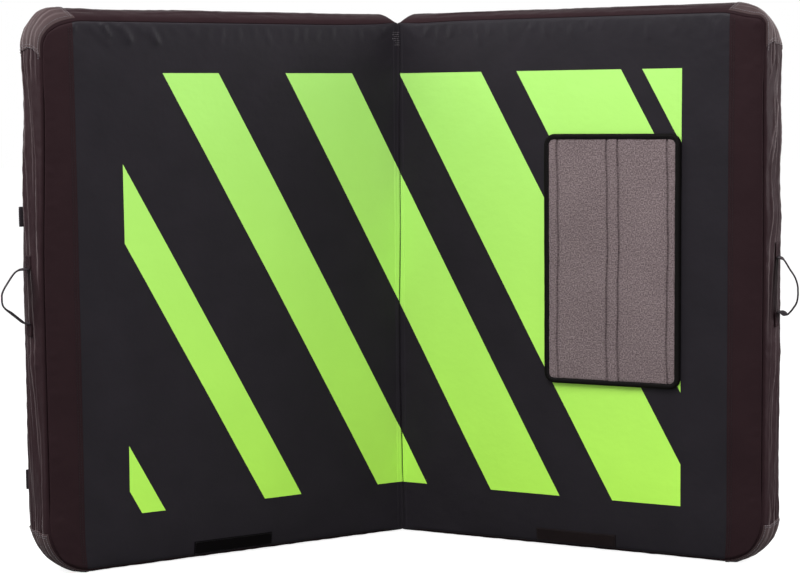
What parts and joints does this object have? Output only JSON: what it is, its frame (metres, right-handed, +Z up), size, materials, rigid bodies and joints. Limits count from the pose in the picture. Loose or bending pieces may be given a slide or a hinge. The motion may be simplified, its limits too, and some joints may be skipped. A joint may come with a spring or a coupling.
{
  "type": "bouldering crash pad",
  "caption": "Folding bouldering crash pad standing half open: two foam halves in a fabric shell with hand loops, straps, zips and a carpet patch.",
  "frame": {"origin": "centre of the bounding box's bottom face, on the surface that the pad stands on", "axes": "+Z up along the fold; the landing faces look towards -Y; +X runs from the left half to the right half"},
  "size_m": [1.417, 0.4286, 1.0013],
  "materials": {
    "binding": "folded woven edge tape",
    "carpet": "short loop-pile carpet",
    "core_foam": "open-cell foam, matt",
    "firm_foam": "closed-cell foam sheet, matt",
    "heavy": "heavy coated woven nylon, matt",
    "hook": "hook-and-loop tape",
    "padding": "padded fabric strap, matt",
    "patch": "abrasion-resistant woven patch, matt",
    "plastic": "moulded acetal, satin",
    "shell": "coated woven nylon, satin",
    "webbing": "woven nylon webbing, matt"
  },
  "bodies": {
    "left_half": {"fold_welt": "shell", "left_back_panel": "heavy", "left_closure_anchor_lower": "webbing", "left_closure_anchor_upper": "webbing", "left_corner_patch_lower": "patch", "left_corner_patch_upper": "patch", "left_end_border": "heavy", "left_face_tab": "hook", "left_foam_core": "core_foam", "left_foam_firm": "firm_foam", "left_gusset_bottom": "heavy", "left_gusset_end": "heavy", "left_gusset_inner": "heavy", "left_gusset_top": "heavy", "left_harness_anchor_far": "webbing", "left_harness_anchor_near": "webbing", "left_harness_patch": "patch", "left_landing_cover": "shell", "left_loop_anchor_lower": "webbing", "left_loop_anchor_upper": "webbing", "left_zip_tape": "webbing"},
    "right_half": {"right_back_panel": "heavy", "right_carpet_binding": "binding", "right_carpet_mat": "carpet", "right_closure_anchor_lower": "webbing", "right_closure_anchor_upper": "webbing", "right_corner_patch_lower": "patch", "right_corner_patch_upper": "patch", "right_end_border": "heavy", "right_face_tab": "hook", "right_foam_core": "core_foam", "right_foam_firm": "firm_foam", "right_gusset_bottom": "heavy", "right_gusset_end": "heavy", "right_gusset_inner": "heavy", "right_gusset_top": "heavy", "right_landing_cover": "shell", "right_loop_anchor_lower": "webbing", "right_loop_anchor_upper": "webbing", "right_zip_tape": "webbing"},
    "left_closure_lower": {"left_closure_plug_lower": "plastic", "left_closure_strap_lower": "webbing"},
    "left_closure_upper": {"left_closure_plug_upper": "plastic", "left_closure_strap_upper": "webbing"},
    "left_hand_loop": {"left_hand_loop": "webbing"},
    "left_shoulder_far": {"left_ladder_lock_far": "plastic", "left_shoulder_pad_far": "padding", "left_shoulder_web_far": "webbing"},
    "left_shoulder_near": {"left_ladder_lock_near": "plastic", "left_shoulder_pad_near": "padding", "left_shoulder_web_near": "webbing"},
    "left_zip_pull": {"left_zip_pull": "plastic"},
    "left_zip_slider": {"left_zip_slider": "plastic"},
    "right_closure_lower": {"right_closure_socket_lower": "plastic", "right_closure_strap_lower": "webbing"},
    "right_closure_upper": {"right_closure_socket_upper": "plastic", "right_closure_strap_upper": "webbing"},
    "right_hand_loop": {"right_hand_loop": "webbing"},
    "right_zip_pull": {"right_zip_pull": "plastic"},
    "right_zip_slider": {"right_zip_slider": "plastic"}
  },
  "joints": [
    {"name": "fold", "type": "hinge", "parent": "left_half", "child": "right_half", "pos_m": [0, 0.12852, 0.5], "axis": [0, 0, 1], "range_deg": [-118, 57]},
    {"name": "left_loop_swing", "type": "hinge", "parent": "left_half", "child": "left_hand_loop", "pos_m": [-0.67313, -0.18006, 0.497], "axis": [0, 0, 1], "range_deg": [-60, 60]},
    {"name": "left_closure_lower_swing", "type": "hinge", "parent": "left_half", "child": "left_closure_lower", "pos_m": [-0.65463, -0.10766, 0.161], "axis": [0, 0, 1], "range_deg": [0, 170]},
    {"name": "left_closure_upper_swing", "type": "hinge", "parent": "left_half", "child": "left_closure_upper", "pos_m": [-0.65463, -0.10766, 0.634], "axis": [0, 0, 1], "range_deg": [0, 170]},
    {"name": "left_zip_travel", "type": "slide", "parent": "left_half", "child": "left_zip_slider", "axis": [0, 0, 1], "range_m": [0, 0.706]},
    {"name": "left_zip_pull_flip", "type": "hinge", "parent": "left_zip_slider", "child": "left_zip_pull", "pos_m": [-0.08659, 0.20417, 0.152], "axis": [0.8788, 0.4772, 0], "range_deg": [0, 160]},
    {"name": "right_loop_swing", "type": "hinge", "parent": "right_half", "child": "right_hand_loop", "pos_m": [0.67313, -0.18006, 0.497], "axis": [0, 0, 1], "range_deg": [-60, 60]},
    {"name": "right_closure_lower_swing", "type": "hinge", "parent": "right_half", "child": "right_closure_lower", "pos_m": [0.65463, -0.10766, 0.161], "axis": [0, 0, -1], "range_deg": [0, 170]},
    {"name": "right_closure_upper_swing", "type": "hinge", "parent": "right_half", "child": "right_closure_upper", "pos_m": [0.65463, -0.10766, 0.634], "axis": [0, 0, -1], "range_deg": [0, 170]},
    {"name": "right_zip_travel", "type": "slide", "parent": "right_half", "child": "right_zip_slider", "axis": [0, 0, 1], "range_m": [0, 0.706]},
    {"name": "right_zip_pull_flip", "type": "hinge", "parent": "right_zip_slider", "child": "right_zip_pull", "pos_m": [0.08659, 0.20417, 0.152], "axis": [0.8788, -0.4772, 0], "range_deg": [0, 160]},
    {"name": "left_shoulder_near_lift", "type": "hinge", "parent": "left_half", "child": "left_shoulder_near", "pos_m": [-0.29238, 0.09278, 0.88], "axis": [0.8788, 0.4772, 0], "range_deg": [0, 100]},
    {"name": "left_shoulder_far_lift", "type": "hinge", "parent": "left_half", "child": "left_shoulder_far", "pos_m": [-0.3908, 0.03934, 0.88], "axis": [0.8788, 0.4772, 0], "range_deg": [0, 100]}
  ]
}
